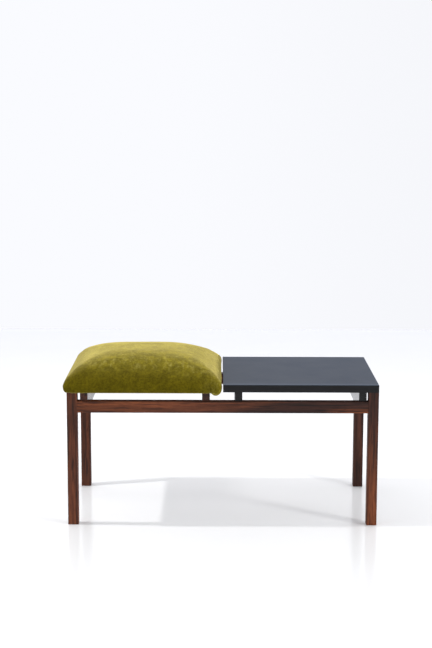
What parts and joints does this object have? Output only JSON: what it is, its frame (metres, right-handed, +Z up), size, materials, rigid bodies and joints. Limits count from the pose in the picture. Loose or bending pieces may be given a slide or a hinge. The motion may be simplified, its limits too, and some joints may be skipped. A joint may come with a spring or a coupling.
{
  "type": "telephone bench",
  "caption": "Low bench with a square velvet seat at one end and a square black table at the other, side by side on one rosewood frame with square legs.",
  "frame": {"origin": "on the floor, under the middle of the whole bench's bounding box", "axes": "+Z up, +X along the bench from the seat to the table, -Y towards the front as pictured"},
  "size_m": [0.9119, 0.4549, 0.4898],
  "materials": {
    "rosewood": "satin lacquered rosewood, dark figure on red-brown",
    "black_stained_wood": "black stained and lacquered hardwood",
    "black_laminate": "satin black plastic laminate",
    "backing_laminate": "plain brown backing sheet",
    "blockboard": "raw sawn softwood strips",
    "plywood": "raw birch plywood",
    "beech": "raw fluted beech",
    "screw_steel": "zinc plated",
    "staple_wire": "galvanised wire",
    "foam": "polyether foam",
    "wadding": "cotton wadding",
    "olive_velvet": "olive green upholstery velvet, short pile",
    "dust_cloth": "black woven cotton"
  },
  "bodies": {
    "root": {"leg_front_left": "rosewood", "leg_back_left": "rosewood", "leg_front_right": "rosewood", "leg_back_right": "rosewood", "front_rail": "rosewood", "back_rail": "rosewood", "rail_dowels": "beech", "seat_bearer_left": "rosewood", "seat_bearer_right": "rosewood", "table_bearer_left": "black_stained_wood", "table_bearer_right": "black_stained_wood", "bearer_screws": "screw_steel", "seat_fixing_screws": "screw_steel", "table_fixing_screws": "screw_steel", "tabletop_core": "blockboard", "tabletop_backing_sheet": "backing_laminate", "tabletop_laminate": "black_laminate", "tabletop_lipping_front": "black_stained_wood", "tabletop_lipping_back": "black_stained_wood", "tabletop_lipping_left": "black_stained_wood", "tabletop_lipping_right": "black_stained_wood", "seat_board": "plywood", "seat_foam": "foam", "seat_wadding": "wadding", "seat_cover": "olive_velvet", "seat_dust_cover": "dust_cloth", "cover_staples": "staple_wire", "dust_cover_staples": "staple_wire"}
  },
  "joints": []
}
